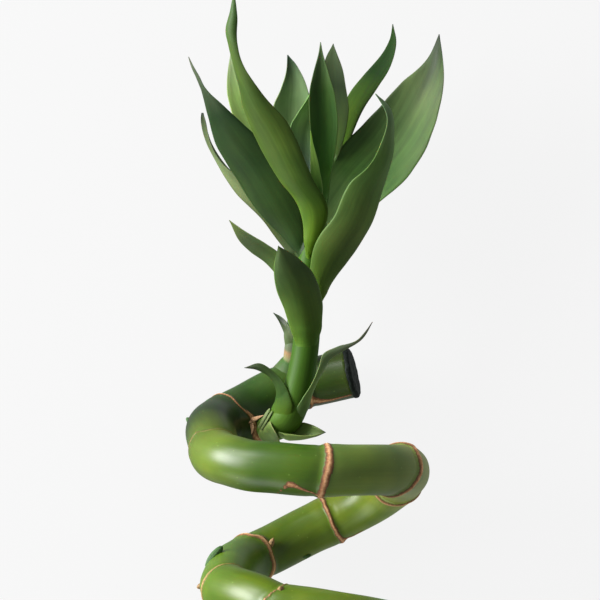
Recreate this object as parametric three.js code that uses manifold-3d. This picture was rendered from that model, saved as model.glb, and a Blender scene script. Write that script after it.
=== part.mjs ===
// Lucky bamboo: one green cane trained into a spiral, cut and waxed at its upper end, with two leafy shoots.
// It lies on its back. Millimetres, +Z up, the shoots point along +Y, and z = 0 is the surface it lies on.
import * as THREE from 'three';
import { mergeVertices } from 'three/addons/utils/BufferGeometryUtils.js';
import Module from 'manifold-3d';

const wasm = await Module();
wasm.setup();

// ---------------------------------------------------------------- driving dimensions
const CANE_RADIUS = 8.8;
const COIL_AXIS_HEIGHT = 42;
const FLAT_DEPTH = 0.3;
// height of the centreline where the cane rests on a flat of its underside
const REST = CANE_RADIUS - FLAT_DEPTH;
// a leaf scar is a raised band of this half width, with shoulders that run out to the cane
const SCAR_HEIGHT = 0.55;
const SCAR_HALF_WIDTH = 0.7;
const SCAR_SHOULDER = 1.6;
const WAX_RADIUS = 8.7;
const WAX_THICKNESS = 1.4;
const WAX_LIP = 0.3;
const WAX_ROUNDING = 3;
const BLADE_THICKNESS = 0.9;
// clearance between neighbouring pieces
const GAP = 0.3;
// edges and slivers finer than this are merged away after the cuts
const FINEST = 0.04;
// middle of the part's length and width, which the origin is below
const BOX_CENTRE = [2.72, -82];

// fineness of the facets
const CANE_SIDES = 20;
const CANE_STEP = 8.5;
const CLOSEST_STATIONS = 1.2;
const SHOOT_SIDES = 12;
const SHOOT_ROWS = 16;
const BUD_SIDES = 8;
const BLADE_ROWS = 12;
const BLADE_COLUMNS = 4;
// a blade ends just short of its tip, so that its last edge keeps a width
const BLADE_END = 0.985;
const SEARCH_STEPS = 1500;

// Centreline of the cane, from its waxed end down the spiral and out to its lower end. The spiral turns
// round an axis along Y, COIL_AXIS_HEIGHT above the surface.
const CANE_PATH = [
  [15.5, -26, 10.2], [9, -27.5, 9.2], [0, -29.5, REST], [-10.5, -32.5, 11], [-22, -38.5, 16],
  [-30.5, -42.5, 26], [-33.5, -45, 39], [-32.5, -49, 50], [-31, -53, 59], [-26, -54.5, 67],
  [-19.5, -56, 71.5], [-12, -56.5, 74], [0, -57.5, 75.5], [14.5, -57.5, 72], [26.5, -58, 60.5],
  [33.5, -59, 42], [31.5, -63, 26], [24, -69.5, 15], [13.5, -75.5, 9.5], [0, -82, REST],
  [-13, -88.5, 11.5], [-20.5, -91.5, 18], [-25.5, -93.5, 29], [-27.5, -96, 42], [-28, -99, 54],
  [-23.5, -100, 63], [-17.5, -101.5, 69.5], [-9.5, -104.5, 74.5], [0, -105.5, 75.5], [9, -107, 74.5],
  [21, -109.5, 67], [30.5, -113, 54], [33.5, -118.5, 42], [30.5, -126.5, 24], [20.5, -135.5, 11.5],
  [6.5, -144.5, REST], [-6, -154.5, REST], [-14.5, -170.5, REST], [-18.5, -199, REST],
  [-19.5, -266.5, REST],
];

// Leaf scars round the cane, each at the point of the centreline that it is nearest to.
const SCAR_POINTS = [
  [-1.2, -29.8, 8.6], [-27.6, -41.1, 21.5], [-31.9, -51.5, 55.4], [5.6, -57.6, 74.9],
  [30.4, -58.2, 53.1], [31, -63.5, 24.8], [9.3, -77.6, 8.7], [-18.9, -90.9, 16],
  [-27.7, -99.2, 55.1], [-10.4, -104.3, 74.2], [30.5, -112, 53], [22, -135.5, 13],
  [-6, -154.5, REST], [-18, -195.5, REST], [-19.5, -234.5, REST],
];

// Buds on the scars: where each sits, which way it points, and its length and radius.
const BUDS = [
  { at: [-40.8, -42, 38], towards: [-0.7, 0.6, 0.3], length: 2, radius: 1.2 },
  { at: [-12, -84, 18.5], towards: [0.1, 1, 0.3], length: 4, radius: 1.5 },
  { at: [-32, -89, 30], towards: [-0.6, -0.75, 0], length: 4.5, radius: 2 },
  { at: [-36.4, -98.5, 46], towards: [-0.8, -0.3, 0.3], length: 1.8, radius: 1.2 },
  { at: [-9, -97.5, 79], towards: [-0.2, 0.6, 0.8], length: 2, radius: 1.6 },
  { at: [-18.5, -199, 17], towards: [0, 0.4, 0.9], length: 2.4, radius: 2 },
];

// Shoot stems: centreline, with the stem's radius at each point.
const FRONT_SHOOT = {
  path: [
    [-17.5, -40, 15], [-16, -42, 21.5], [-13.5, -44, 27.5], [-10.5, -43.5, 32], [-7.5, -41, 34.5],
    [-5, -36, 36], [-3, -29.5, 36.7], [-1, -19, 37], [0, -7, 37], [0, 5, 37], [0.5, 13, 37.5],
    [2, 21.5, 37.7], [3.5, 27, 37.7],
  ],
  radii: [4.4, 4.4, 4.8, 5.4, 5.7, 5.5, 5, 4.6, 4.6, 4.4, 4, 3, 1.5],
};
const REAR_SHOOT = {
  path: [
    [-6.5, -26, 11], [-6, -16, 17], [-4.5, -5.5, 20], [-3, 3.5, 22], [-2, 17.5, 23.5],
    [-1, 33.5, 24],
  ],
  radii: [3.6, 3.6, 3.4, 3.3, 3, 1.4],
};

// Leaves. Each blade lies between a left and a right edge, drawn from its foot to its tip. ridge is how
// far its midrib stands above the two edges, as a share of the width there: below 0 the blade is a channel.
// Leaves of the front shoot, the foremost first.
const FRONT_LEAVES = [
  {
    name: 'front_leaf',
    ridge: 0.22,
    left: [[-5, -17.5, 40], [-6, -9.5, 42], [-9, -1, 47], [-11, 5, 52], [-11.5, 11.5, 57], [-10, 18.5, 62]],
    right: [[4.5, -17.5, 40], [5, -8.5, 42], [5, 0, 46], [2, 9, 51], [-3.5, 14.5, 56], [-10, 18.5, 62]],
  },
  {
    name: 'tall_leaf',
    ridge: 0.15,
    left: [
      [-1, 13, 42.5], [-2.5, 31, 44], [-10.5, 42.5, 46.5], [-21.5, 64, 52], [-24, 74.5, 55],
      [-27, 86.5, 59], [-28, 92.5, 61], [-25, 104, 62],
    ],
    right: [
      [1, 13, 42.5], [7.5, 30.5, 44], [2, 41.5, 48.5], [-6.5, 60, 54], [-15.5, 70.5, 58],
      [-21.5, 79.5, 61], [-24, 87.5, 63], [-25, 104, 62],
    ],
  },
  {
    name: 'right_front_leaf',
    ridge: 0.15,
    left: [
      [0, 3.5, 42.3], [1, 11, 45], [3, 20, 48.5], [9.5, 29.5, 53.5], [14.5, 40, 57],
      [21, 46, 60], [25.5, 54.5, 61], [27, 62, 61.5], [23, 70.5, 60],
    ],
    right: [
      [4.5, -5.5, 40.5], [8, 5, 41], [16.5, 17, 44], [22.5, 27, 47], [25.5, 37, 49],
      [28.5, 46.5, 52], [29.5, 53, 55], [28.5, 65, 58], [23, 70.5, 60],
    ],
  },
  {
    name: 'left_leaf',
    ridge: 0.1,
    left: [
      [-1.5, 12.5, 38], [-9.5, 22.5, 38], [-17.5, 31, 40], [-24.5, 43, 41], [-31, 54, 43],
      [-33.5, 63.5, 45], [-36.5, 73, 47.5], [-41, 83.5, 50],
    ],
    right: [
      [0, 14.5, 38], [-2.5, 23.5, 41], [-6, 38, 44.5], [-11, 50, 47], [-18, 57, 49.5], [-27, 65, 51],
      [-35.5, 73, 51], [-41, 83.5, 50],
    ],
  },
  {
    name: 'young_leaf',
    ridge: -0.1,
    left: [[1.8, 24, 40.3], [1.3, 34, 42], [1, 43, 43.5], [1, 52, 45], [1, 58.5, 46]],
    right: [[4, 24, 40.3], [5, 33, 42], [5, 40.5, 43.5], [3, 50, 45], [1, 58.5, 46]],
  },
  {
    name: 'centre_leaf',
    ridge: -0.2,
    left: [
      [3.5, 27, 38], [2.5, 41.5, 41], [1, 60.5, 43], [0.5, 70, 44], [2, 78, 45.5],
      [3.8, 84.8, 46.9], [4.5, 89, 47.5],
    ],
    right: [
      [6, 27, 38], [8, 41.5, 41], [10.5, 59, 43], [10, 67.5, 44], [7.5, 77.5, 45.5],
      [5.3, 84.8, 46.9], [4.5, 89, 47.5],
    ],
  },
  {
    name: 'broad_leaf',
    ridge: -0.12,
    left: [
      [5, 23.5, 37], [6, 40, 34.5], [10.5, 51.5, 32.5], [20.5, 62.5, 30], [32.5, 75.5, 28.5],
      [41.5, 84, 28.5], [46, 93, 30],
    ],
    right: [
      [7.5, 22, 37], [15.5, 27.5, 38], [25, 34, 39], [35.5, 43.5, 39], [43.5, 58.5, 38],
      [47.5, 77, 35], [46, 93, 30],
    ],
  },
  {
    name: 'low_left_leaf',
    ridge: -0.1,
    left: [
      [-2.5, 10, 31.5], [-9, 19, 27.5], [-16, 28.5, 25], [-24.5, 37, 24], [-30.5, 45.5, 24.5],
      [-35.5, 55.5, 26.5], [-37, 62.5, 28.5], [-37, 65.5, 30],
    ],
    right: [
      [-1, 14, 34], [-6, 23.5, 35], [-16, 33, 35], [-23.5, 42.5, 34.5], [-28, 46, 34],
      [-33.5, 54, 33], [-36, 63, 31], [-36.5, 65.5, 30],
    ],
  },
];

// Leaves of the rear shoot, the foremost first.
const REAR_LEAVES = [
  {
    name: 'back_leaf',
    ridge: -0.15,
    left: [[0.5, 35, 28.5], [3, 56, 28], [4.5, 73.5, 28], [6, 83.5, 30], [9, 89.5, 32]],
    right: [[3.5, 35, 29.5], [11.5, 52.5, 34], [14, 65, 36], [12.5, 79, 34], [9, 89.5, 32]],
  },
  {
    name: 'far_left_leaf',
    ridge: -0.12,
    left: [
      [-4, 30, 25], [-11.5, 44, 27.5], [-20, 55.5, 30], [-25.5, 63, 31.5], [-28, 71, 31.5],
      [-28, 78.5, 30], [-26.5, 87.5, 28],
    ],
    right: [
      [-1.5, 31, 23], [-6, 47.5, 22], [-13, 61.5, 22], [-19.5, 72, 23.5], [-23.5, 80, 25.5],
      [-25.5, 84, 27], [-26.5, 87.5, 28],
    ],
  },
  {
    name: 'middle_leaf',
    ridge: -0.15,
    left: [[-1.5, 33.5, 26], [-5.5, 47.5, 26.5], [-6, 60.5, 27], [-3.5, 65, 27], [0, 71, 26.5], [3, 77, 25]],
    right: [[1, 33.5, 26], [3.5, 47.5, 24], [5, 59.5, 23.5], [5, 68.5, 23.5], [4, 73.5, 24], [3, 77, 25]],
  },
  {
    name: 'small_left_leaf',
    ridge: -0.12,
    left: [
      [-5, 1.5, 22], [-9.5, 7, 21], [-14.5, 13, 20], [-20, 17, 20.5], [-24.5, 21.5, 22],
      [-27.5, 28, 24],
    ],
    right: [
      [-4, 10, 25.5], [-10.5, 17, 28], [-14.5, 19.5, 28.5], [-18.5, 22, 28], [-23, 25, 26.5],
      [-27.5, 28, 24],
    ],
  },
  {
    name: 'upper_right_leaf',
    ridge: -0.15,
    left: [
      [0, 37, 21], [8, 56, 18], [14, 71.5, 18], [20, 79.5, 19], [25.5, 85.5, 20.5], [29, 91.5, 22],
      [30, 97, 23],
    ],
    right: [
      [3, 37, 23], [13, 52.5, 26], [19, 65.5, 28], [25, 75, 28], [29.5, 83, 27], [31, 90.5, 25],
      [30, 97, 23],
    ],
  },
  {
    name: 'upper_left_leaf',
    ridge: -0.15,
    left: [
      [-3.5, 33.5, 21], [-9.5, 47.5, 21.5], [-12.5, 60, 22], [-12, 68.5, 21.5], [-9.5, 74, 20.5],
      [-7.5, 80.5, 19], [-7, 86.5, 18],
    ],
    right: [
      [-1, 33.5, 20.5], [1.5, 47.5, 16], [2, 60, 14], [1.5, 68.5, 14], [-0.5, 76, 15],
      [-4, 83, 16.5], [-7, 86.5, 18],
    ],
  },
];

// Small scale leaves: four round the foot of the front shoot and one on the rear shoot.
const SCALES = [
  {
    name: 'base_right_scale',
    ridge: 0.1,
    left: [
      [-4.5, -39, 41.5], [-2, -34.5, 42], [2, -28, 42], [4, -23, 42.5], [5.5, -18.5, 43],
      [10.5, -16, 43], [17, -14, 43], [22.5, -7.5, 44],
    ],
    right: [
      [-2.5, -42, 38], [0.5, -36, 38], [2.5, -30.5, 39], [5, -25.5, 40], [8, -20.5, 41],
      [12.5, -17.5, 42], [19, -13.5, 42.5], [22.5, -7.5, 44],
    ],
  },
  {
    name: 'base_left_scale',
    ridge: 0.15,
    left: [
      [-12.5, -41, 33], [-11.5, -36, 35], [-11, -31.5, 37], [-13.5, -26.5, 38],
      [-17, -24.5, 38], [-22, -23.5, 38],
    ],
    right: [
      [-6, -41, 39.5], [-5, -36.5, 41], [-7, -31, 41], [-10, -26.5, 39.5], [-16.5, -22, 38.5],
      [-22, -23.5, 38],
    ],
  },
  {
    name: 'base_front_scale',
    ridge: 0.1,
    left: [[-9.5, -49.5, 35], [-2.5, -48.5, 38], [2.5, -48, 39], [6, -46, 39]],
    right: [[-8.5, -45.5, 38], [-2.5, -43, 40], [2, -44, 39.5], [6, -46, 39]],
  },
  {
    name: 'base_collar_scale',
    ridge: 0.1,
    left: [[-18, -43.5, 31], [-17, -47.5, 32.5], [-14.5, -50, 34], [-9.5, -49.5, 38]],
    right: [[-14, -41, 37], [-12, -44.5, 40], [-10.5, -47, 40.5], [-9.5, -49.5, 38]],
  },
  {
    name: 'rear_scale',
    ridge: 0.15,
    left: [[-8, -17, 16], [-8, -12.5, 17], [-9.5, -8.5, 18], [-12, -4.5, 18]],
    right: [[-5.5, -16, 19], [-6, -10.5, 20], [-8, -6.5, 19], [-12, -4.5, 18]],
  },
];

// ---------------------------------------------------------------- materials
const COLOURS = {
  cane: 0x5e9a2e,
  wax: 0x32463f,
  shoot: 0x4f8a3a,
  leaf: 0x2f6b2c,
};

function material(colour, roughness) {
  return new THREE.MeshStandardMaterial({ color: colour, roughness, metalness: 0 });
}

// ---------------------------------------------------------------- solids
function curveThrough(points) {
  return new THREE.CatmullRomCurve3(points.map((point) => new THREE.Vector3(...point)));
}

function toSolid(geometry) {
  const bare = geometry.clone();
  bare.deleteAttribute('normal');
  bare.deleteAttribute('uv');
  const merged = mergeVertices(bare, 1e-4);
  const mesh = new wasm.Mesh({
    numProp: 3,
    vertProperties: new Float32Array(merged.attributes.position.array),
    triVerts: new Uint32Array(merged.index.array),
  });
  return new wasm.Manifold(mesh);
}

function toGeometry(solid) {
  const mesh = solid.getMesh();
  const geometry = new THREE.BufferGeometry();
  geometry.setAttribute('position', new THREE.BufferAttribute(new Float32Array(mesh.vertProperties), 3));
  geometry.setIndex(new THREE.BufferAttribute(new Uint32Array(mesh.triVerts), 1));
  return geometry;
}

// The largest piece of a solid that a cut has split, so that no loose scrap stays.
function largestPiece(solid) {
  const pieces = solid.decompose();
  pieces.sort((first, second) => second.volume() - first.volume());
  return pieces[0];
}

// A closed round bar along a curve, made from a unit cylinder whose rows are moved to the given fractions
// of the curve. outward(point) is the direction that the section's first side faces.
function barGeometry(curve, fractions, sides, outward, radiusAt) {
  const rows = fractions.length - 1;
  const geometry = new THREE.CylinderGeometry(1, 1, 1, sides, rows);
  const position = geometry.attributes.position;
  const vertex = new THREE.Vector3();
  for (let i = 0; i < position.count; i += 1) {
    vertex.fromBufferAttribute(position, i);
    const row = Math.round((0.5 - vertex.y) * rows);
    const centre = curve.getPointAt(fractions[row]);
    const tangent = curve.getTangentAt(fractions[row]);
    const out = outward(centre).projectOnPlane(tangent).normalize();
    const side = new THREE.Vector3().crossVectors(tangent, out);
    const radius = radiusAt(fractions[row]);
    centre.addScaledVector(out, vertex.x * radius).addScaledVector(side, vertex.z * radius);
    position.setXYZ(i, centre.x, centre.y, centre.z);
  }
  return geometry;
}

// A fraction of the curve's length for each station: even steps, with the extra ones put in between.
function stations(length, step, extra) {
  const count = Math.ceil(length / step);
  const even = Array.from({ length: count + 1 }, (_, i) => i / count);
  const isClear = (value) => extra.every((other) => Math.abs(value - other) * length > CLOSEST_STATIONS);
  const clear = even.filter(isClear);
  return [...clear, ...extra].sort((first, second) => first - second);
}

// The fraction of a curve's length at which it passes closest to a point.
function nearestFraction(curve, point) {
  const target = new THREE.Vector3(...point);
  let best = 0;
  let nearest = Infinity;
  for (let i = 0; i <= SEARCH_STEPS; i += 1) {
    const distance = curve.getPointAt(i / SEARCH_STEPS).distanceTo(target);
    if (distance < nearest) {
      nearest = distance;
      best = i / SEARCH_STEPS;
    }
  }
  return best;
}

// ---------------------------------------------------------------- cane
function awayFromCoilAxis(point) {
  return new THREE.Vector3(point.x, 0, point.z - COIL_AXIS_HEIGHT);
}

// Everything that would reach below the surface, which cuts the flats that the cane rests on.
function slabBelowSurface() {
  const [length, depth] = [1000, 20];
  const slab = new THREE.BoxGeometry(length, length, depth);
  slab.translate(0, 0, -depth / 2);
  return toSolid(slab);
}

// A bud is a small pointed swelling, half sunk in the cane.
function budSolid(bud) {
  const geometry = new THREE.SphereGeometry(1, BUD_SIDES, BUD_SIDES - 2);
  geometry.scale(bud.radius, bud.length, bud.radius);
  const towards = new THREE.Vector3(...bud.towards).normalize();
  const turn = new THREE.Quaternion().setFromUnitVectors(new THREE.Vector3(0, 1, 0), towards);
  geometry.applyQuaternion(turn);
  geometry.translate(...bud.at);
  return toSolid(geometry);
}

function caneSolid(grow = 0) {
  const curve = curveThrough(CANE_PATH);
  const length = curve.getLength();
  const scars = SCAR_POINTS.map((point) => nearestFraction(curve, point));
  const edges = [-SCAR_SHOULDER, -SCAR_HALF_WIDTH, SCAR_HALF_WIDTH, SCAR_SHOULDER];
  const extra = scars.flatMap((scar) => edges.map((edge) => scar + edge / length));
  const radiusAt = (fraction) => {
    const distances = scars.map((scar) => Math.abs(fraction - scar) * length);
    const onScar = Math.min(...distances) < (SCAR_HALF_WIDTH + SCAR_SHOULDER) / 2;
    return CANE_RADIUS + (onScar ? SCAR_HEIGHT : 0) + grow;
  };
  const fractions = stations(length, CANE_STEP, extra);
  const bar = barGeometry(curve, fractions, CANE_SIDES, awayFromCoilAxis, radiusAt);
  let solid = toSolid(bar);
  for (const bud of BUDS) {
    solid = solid.add(budSolid(bud));
  }
  return solid.subtract(slabBelowSurface());
}

// The wax cap is a shallow dome with a lip, and stands off the cut end by GAP.
function waxSolid() {
  const curve = curveThrough(CANE_PATH);
  const outward = curve.getTangentAt(0).negate();
  const profile = [
    new THREE.Vector2(0, 0),
    new THREE.Vector2(WAX_RADIUS, 0),
    new THREE.Vector2(WAX_RADIUS + WAX_LIP, WAX_THICKNESS / 2),
    new THREE.Vector2(WAX_RADIUS - WAX_ROUNDING, WAX_THICKNESS),
    new THREE.Vector2(0, WAX_THICKNESS),
  ];
  const geometry = new THREE.LatheGeometry(profile, CANE_SIDES);
  geometry.translate(0, GAP, 0);
  geometry.applyQuaternion(new THREE.Quaternion().setFromUnitVectors(new THREE.Vector3(0, 1, 0), outward));
  const end = curve.getPointAt(0);
  geometry.translate(end.x, end.y, end.z);
  return toSolid(geometry);
}

// ---------------------------------------------------------------- shoots
function upwards() {
  return new THREE.Vector3(0, 0, 1);
}

function shootSolid(shoot, grow = 0) {
  const curve = curveThrough(shoot.path);
  const last = shoot.radii.length - 1;
  const fractions = Array.from({ length: SHOOT_ROWS + 1 }, (_, i) => i / SHOOT_ROWS);
  const radiusAt = (fraction) => {
    const place = curve.getUtoTmapping(fraction) * last;
    const index = Math.min(Math.floor(place), last - 1);
    return THREE.MathUtils.lerp(shoot.radii[index], shoot.radii[index + 1], place - index) + grow;
  };
  return toSolid(barGeometry(curve, fractions, SHOOT_SIDES, upwards, radiusAt));
}

// ---------------------------------------------------------------- leaves
// The middle surface of a blade: rows from foot to tip, columns from the left edge to the right edge.
function bladeSurface(leaf, grow) {
  const left = curveThrough(leaf.left);
  const right = curveThrough(leaf.right);
  const surface = [];
  for (let row = 0; row <= BLADE_ROWS; row += 1) {
    const along = (row / BLADE_ROWS) * BLADE_END;
    const from = left.getPointAt(along);
    const to = right.getPointAt(along);
    const across = to.clone().sub(from);
    const width = across.length();
    across.normalize();
    const run = left.getTangentAt(along).add(right.getTangentAt(along)).normalize();
    const up = new THREE.Vector3().crossVectors(across, run).normalize();
    const line = [];
    for (let column = 0; column <= BLADE_COLUMNS; column += 1) {
      const share = column / BLADE_COLUMNS;
      const point = from.clone().addScaledVector(across, share * (width + 2 * grow) - grow);
      point.addScaledVector(up, 4 * share * (1 - share) * leaf.ridge * width);
      line.push(point);
    }
    surface.push(line);
  }
  return surface;
}

// The direction that the surface faces at one grid point.
function surfaceNormal(surface, row, column) {
  const above = surface[Math.min(row + 1, BLADE_ROWS)][column];
  const below = surface[Math.max(row - 1, 0)][column];
  const leftward = surface[row][Math.max(column - 1, 0)];
  const rightward = surface[row][Math.min(column + 1, BLADE_COLUMNS)];
  const run = above.clone().sub(below);
  const across = rightward.clone().sub(leftward);
  return across.cross(run).normalize();
}

// A closed blade: two faces of the same triangles, a thickness apart, and a rim that joins them.
function bladeGeometry(leaf, grow = 0) {
  const surface = bladeSurface(leaf, grow);
  const half = BLADE_THICKNESS / 2 + grow;
  const lineLength = BLADE_COLUMNS + 1;
  const faceSize = (BLADE_ROWS + 1) * lineLength;
  const positions = [];
  for (const side of [1, -1]) {
    for (let row = 0; row <= BLADE_ROWS; row += 1) {
      for (let column = 0; column <= BLADE_COLUMNS; column += 1) {
        const normal = surfaceNormal(surface, row, column);
        const point = surface[row][column].clone().addScaledVector(normal, side * half);
        positions.push(point.x, point.y, point.z);
      }
    }
  }
  const index = [];
  for (let row = 0; row < BLADE_ROWS; row += 1) {
    for (let column = 0; column < BLADE_COLUMNS; column += 1) {
      const a = row * lineLength + column;
      const b = a + 1;
      const c = a + lineLength + 1;
      const d = a + lineLength;
      index.push(a, b, c, a, c, d);
      index.push(faceSize + a, faceSize + c, faceSize + b, faceSize + a, faceSize + d, faceSize + c);
    }
  }
  for (const [from, to] of rimEdges(lineLength)) {
    index.push(from, faceSize + from, faceSize + to, from, faceSize + to, to);
  }
  const geometry = new THREE.BufferGeometry();
  geometry.setAttribute('position', new THREE.Float32BufferAttribute(positions, 3));
  geometry.setIndex(index);
  return geometry;
}

// The grid's outline, counter-clockwise seen from its front: foot, right edge, tip, left edge.
function rimEdges(lineLength) {
  const outline = [];
  for (let column = 0; column < BLADE_COLUMNS; column += 1) {
    outline.push(column);
  }
  for (let row = 0; row < BLADE_ROWS; row += 1) {
    outline.push(row * lineLength + BLADE_COLUMNS);
  }
  for (let column = BLADE_COLUMNS; column > 0; column -= 1) {
    outline.push(BLADE_ROWS * lineLength + column);
  }
  for (let row = BLADE_ROWS; row > 0; row -= 1) {
    outline.push(row * lineLength);
  }
  return outline.map((from, i) => [from, outline[(i + 1) % outline.length]]);
}

// ---------------------------------------------------------------- the plant
const plant = new THREE.Group();
plant.position.set(-BOX_CENTRE[0], -BOX_CENTRE[1], 0);

function addPiece(name, solid, colour, roughness) {
  const mesh = new THREE.Mesh(toGeometry(solid.asOriginal().simplify(FINEST)), material(colour, roughness));
  mesh.name = name;
  plant.add(mesh);
}

addPiece('cane', caneSolid(), COLOURS.cane, 0.3);
addPiece('wax_seal', waxSolid(), COLOURS.wax, 0.45);

// Each stem and leaf is cut back by GAP from the cane and from the ones in front of it.
const obstacles = [caneSolid(GAP)];

function addGrown(name, exact, swollen, colour, roughness) {
  let solid = exact;
  for (const obstacle of obstacles) {
    solid = solid.subtract(obstacle);
  }
  addPiece(name, largestPiece(solid), colour, roughness);
  obstacles.push(swollen);
}

addGrown('front_shoot', shootSolid(FRONT_SHOOT), shootSolid(FRONT_SHOOT, GAP), COLOURS.shoot, 0.4);
addGrown('rear_shoot', shootSolid(REAR_SHOOT), shootSolid(REAR_SHOOT, GAP), COLOURS.shoot, 0.4);
for (const leaf of [...FRONT_LEAVES, ...REAR_LEAVES, ...SCALES]) {
  const blade = toSolid(bladeGeometry(leaf));
  const swollen = toSolid(bladeGeometry(leaf, GAP));
  addGrown(leaf.name, blade, swollen, COLOURS.leaf, 0.35);
}

export default plant;
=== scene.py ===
"""Looks of a cut stalk of lucky bamboo: a spiral cane with two leafy shoots, lying on a pale floor."""

import bisect
import math

import bmesh
import bpy
from mathutils import Matrix, Vector, noise


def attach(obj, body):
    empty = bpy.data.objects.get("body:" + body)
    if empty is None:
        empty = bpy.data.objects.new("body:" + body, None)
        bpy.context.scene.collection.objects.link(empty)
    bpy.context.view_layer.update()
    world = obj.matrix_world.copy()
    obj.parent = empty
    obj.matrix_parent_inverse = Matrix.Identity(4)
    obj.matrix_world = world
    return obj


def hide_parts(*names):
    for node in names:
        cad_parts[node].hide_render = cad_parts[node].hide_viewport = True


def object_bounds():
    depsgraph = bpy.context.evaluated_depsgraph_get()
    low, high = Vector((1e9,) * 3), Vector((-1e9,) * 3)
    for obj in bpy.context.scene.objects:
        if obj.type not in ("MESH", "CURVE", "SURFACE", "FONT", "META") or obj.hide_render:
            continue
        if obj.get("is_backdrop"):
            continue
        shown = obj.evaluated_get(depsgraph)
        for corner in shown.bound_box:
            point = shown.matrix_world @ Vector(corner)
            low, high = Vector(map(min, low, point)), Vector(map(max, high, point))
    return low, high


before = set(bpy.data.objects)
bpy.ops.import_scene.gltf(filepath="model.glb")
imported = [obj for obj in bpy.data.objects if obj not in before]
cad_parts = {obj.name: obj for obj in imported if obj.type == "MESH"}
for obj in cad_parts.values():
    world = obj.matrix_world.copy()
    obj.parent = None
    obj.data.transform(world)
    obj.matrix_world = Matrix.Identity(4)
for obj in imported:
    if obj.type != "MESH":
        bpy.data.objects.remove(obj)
cad_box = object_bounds()

# Shapes are drawn in millimetres, on a drawing whose point DRAWING_CENTRE lies at the frame's origin.
DRAWING_CENTRE = (2.72, -82.0)
MM = 0.001

CANE_RADIUS = 8.72
# from the waxed end along the spiral to the lower cut
CANE_LENGTH = 583.0
COIL_AXIS_HEIGHT = 42.0
LEAF_THICKNESS = 0.5
SHRED_THICKNESS = 0.3
FLOOR_GLOW = 0.975

# Centreline of the cane, from its waxed end down the spiral and out to its lower end.
CANE_PATH = [
    (15.5, -26, 10.2), (9, -27.5, 9.2), (0, -29.5, 8.5), (-10.5, -32.5, 11), (-22, -38.5, 16),
    (-30.5, -42.5, 26), (-33.5, -45, 39), (-32.5, -49, 50), (-31, -53, 59), (-26, -54.5, 67),
    (-19.5, -56, 71.5), (-12, -56.5, 74), (0, -57.5, 75.5), (14.5, -57.5, 72), (26.5, -58, 60.5),
    (33.5, -59, 42), (31.5, -63, 26), (24, -69.5, 15), (13.5, -75.5, 9.5), (0, -82, 8.5),
    (-13, -88.5, 11.5), (-20.5, -91.5, 18), (-25.5, -93.5, 29), (-27.5, -96, 42), (-28, -99, 54),
    (-23.5, -100, 63), (-17.5, -101.5, 69.5), (-9.5, -104.5, 74.5), (0, -105.5, 75.5),
    (9, -107, 74.5), (21, -109.5, 67), (30.5, -113, 54), (33.5, -118.5, 42), (30.5, -126.5, 24),
    (20.5, -135.5, 11.5), (6.5, -144.5, 8.5), (-6, -154.5, 8.5), (-14.5, -170.5, 8.5),
    (-18.5, -199, 8.5), (-19.5, -266.5, 8.5),
]

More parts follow.
